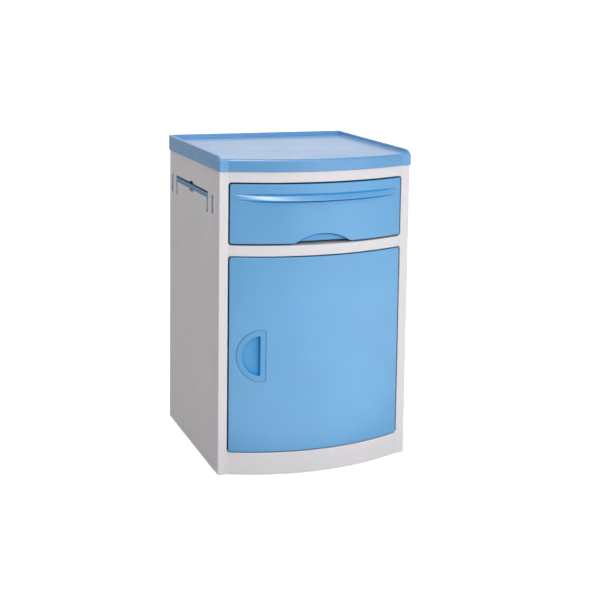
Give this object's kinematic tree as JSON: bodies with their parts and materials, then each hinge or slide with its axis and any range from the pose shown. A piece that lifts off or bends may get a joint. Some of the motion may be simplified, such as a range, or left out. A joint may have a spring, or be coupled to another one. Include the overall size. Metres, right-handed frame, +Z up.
{
  "type": "hospital bedside cabinet",
  "caption": "Moulded plastic bedside cabinet with a bowed front, a drawer over a hinged door, a rimmed tray top and fold-out towel rails and hooks in its sides.",
  "frame": {"origin": "on the floor under the centre of the top panel's bounding box", "axes": "+X to the right of someone facing the cabinet, +Y from the bowed front to the back, +Z up"},
  "size_m": [0.485, 0.5045, 0.76],
  "materials": {
    "blue_top": "moulded ABS, light lavender blue, glossy tray floor",
    "white_shell": "moulded ABS, cool white, fine grain",
    "white_inner": "moulded ABS, white, smooth",
    "natural_slide": "acetal, natural",
    "blue_front": "moulded ABS, sky blue, satin gloss",
    "blue_rail": "moulded ABS, sky blue",
    "zinc_screw": "zinc plated",
    "steel_pin": "plain steel",
    "black_rubber": "black",
    "ferrite": "ferrite magnet, dark grey"
  },
  "bodies": {
    "cabinet": {"top_panel": "blue_top", "front_frame": "white_shell", "left_side_panel": "white_shell", "right_side_panel": "white_shell", "left_liner_panel": "white_inner", "right_liner_panel": "white_inner", "back_panel": "white_shell", "base_panel": "white_inner", "divider_panel": "white_inner", "cupboard_shelf": "white_inner", "shelf_pegs": "white_inner", "left_drawer_runner": "white_inner", "right_drawer_runner": "white_inner", "runner_screws": "zinc_screw", "drawer_buffers": "black_rubber", "catch_housing": "white_inner", "catch_magnet": "ferrite", "catch_screws": "zinc_screw", "upper_hinge_pin": "steel_pin", "lower_hinge_pin": "steel_pin", "back_panel_screws": "zinc_screw", "top_panel_screws": "zinc_screw", "foot_glides": "black_rubber", "glide_screws": "zinc_screw", "left_rail_pins": "steel_pin", "right_rail_pins": "steel_pin", "left_hook_pins": "steel_pin", "right_hook_pins": "steel_pin"},
    "drawer": {"drawer_front": "blue_front", "drawer_front_backing": "blue_front", "drawer_tub": "white_inner", "left_drawer_glide": "natural_slide", "right_drawer_glide": "natural_slide", "drawer_front_screws": "zinc_screw", "glide_strip_screws": "zinc_screw"},
    "door": {"door_shell": "blue_front", "door_backing": "white_inner", "door_handle_cup": "blue_front", "door_backing_screws": "zinc_screw", "strike_plate": "steel_pin", "strike_screws": "zinc_screw", "upper_hinge_bush": "natural_slide", "lower_hinge_bush": "natural_slide"},
    "left_towel_rail": {"left_towel_rail": "blue_rail"},
    "right_towel_rail": {"right_towel_rail": "blue_rail"},
    "left_front_hook": {"left_front_hook": "blue_rail"},
    "left_rear_hook": {"left_rear_hook": "blue_rail"},
    "right_front_hook": {"right_front_hook": "blue_rail"},
    "right_rear_hook": {"right_rear_hook": "blue_rail"}
  },
  "joints": [
    {"name": "drawer_slide", "type": "slide", "parent": "cabinet", "child": "drawer", "axis": [0, -1, 0], "range_m": [0, 0.3]},
    {"name": "door_hinge", "type": "hinge", "parent": "cabinet", "child": "door", "pos_m": [0.2025, -0.19867, 0.289], "axis": [0, 0, 1], "range_deg": [0, 105]},
    {"name": "left_rail_fold", "type": "hinge", "parent": "cabinet", "child": "left_towel_rail", "pos_m": [-0.2345, 0.0375, 0.619], "axis": [0, -1, 0], "range_deg": [0, 90]},
    {"name": "right_rail_fold", "type": "hinge", "parent": "cabinet", "child": "right_towel_rail", "pos_m": [0.2345, 0.0375, 0.619], "axis": [0, 1, 0], "range_deg": [0, 90]},
    {"name": "left_front_hook_fold", "type": "hinge", "parent": "cabinet", "child": "left_front_hook", "pos_m": [-0.233, -0.1435, 0.6225], "axis": [0, -1, 0], "range_deg": [0, 90]},
    {"name": "left_rear_hook_fold", "type": "hinge", "parent": "cabinet", "child": "left_rear_hook", "pos_m": [-0.233, 0.2185, 0.6225], "axis": [0, -1, 0], "range_deg": [0, 90]},
    {"name": "right_front_hook_fold", "type": "hinge", "parent": "cabinet", "child": "right_front_hook", "pos_m": [0.233, -0.1435, 0.6225], "axis": [0, 1, 0], "range_deg": [0, 90]},
    {"name": "right_rear_hook_fold", "type": "hinge", "parent": "cabinet", "child": "right_rear_hook", "pos_m": [0.233, 0.2185, 0.6225], "axis": [0, 1, 0], "range_deg": [0, 90]}
  ]
}
